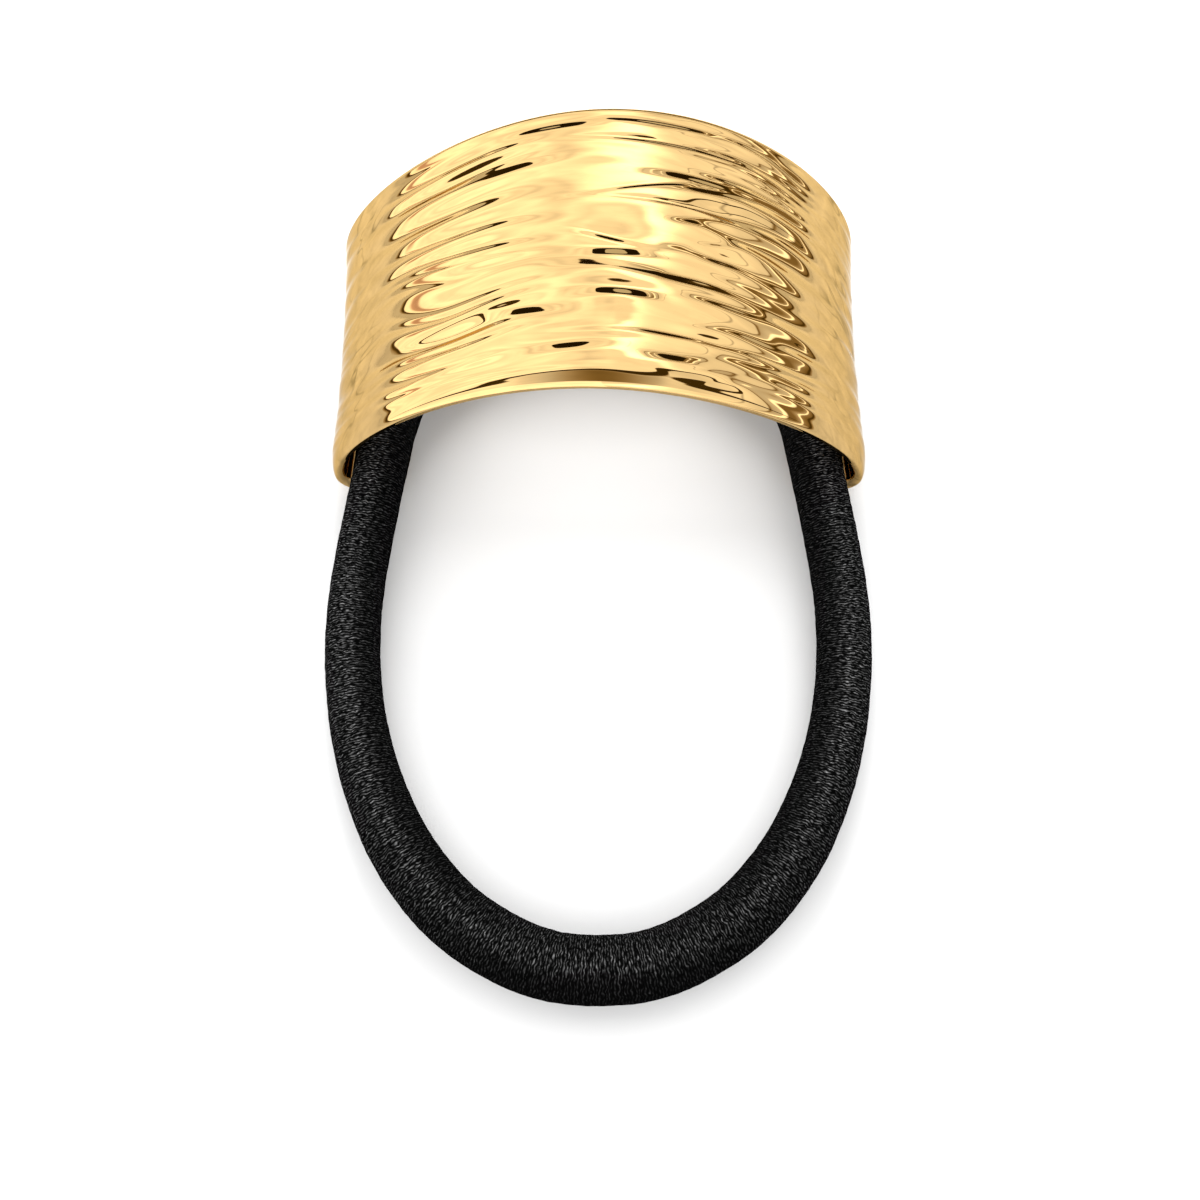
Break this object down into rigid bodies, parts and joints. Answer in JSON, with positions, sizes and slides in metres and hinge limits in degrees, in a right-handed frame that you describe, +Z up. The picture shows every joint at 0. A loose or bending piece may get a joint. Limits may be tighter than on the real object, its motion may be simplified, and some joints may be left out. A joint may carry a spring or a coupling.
{
  "type": "ponytail cuff",
  "caption": "Arched gold metal plate with a rippled face and hooked ends, holding a thick black elastic loop, that covers the tie of a ponytail.",
  "frame": {"origin": "bottom centre of the metal cuff, on the surface that its two hooks rest on", "axes": "+X from the left hook to the right hook, +Y from the elastic's bend to the back edge of the cuff, +Z up through the crown of the arch"},
  "size_m": [0.045, 0.0665, 0.0201],
  "materials": {
    "gold_plate": "mirror-polished yellow gold plating over a rippled cast face",
    "black_elastic": "black thread wound and knitted over a rubber core, satin"
  },
  "bodies": {
    "root": {"cuff": "gold_plate", "elastic_loop": "black_elastic"}
  },
  "joints": []
}
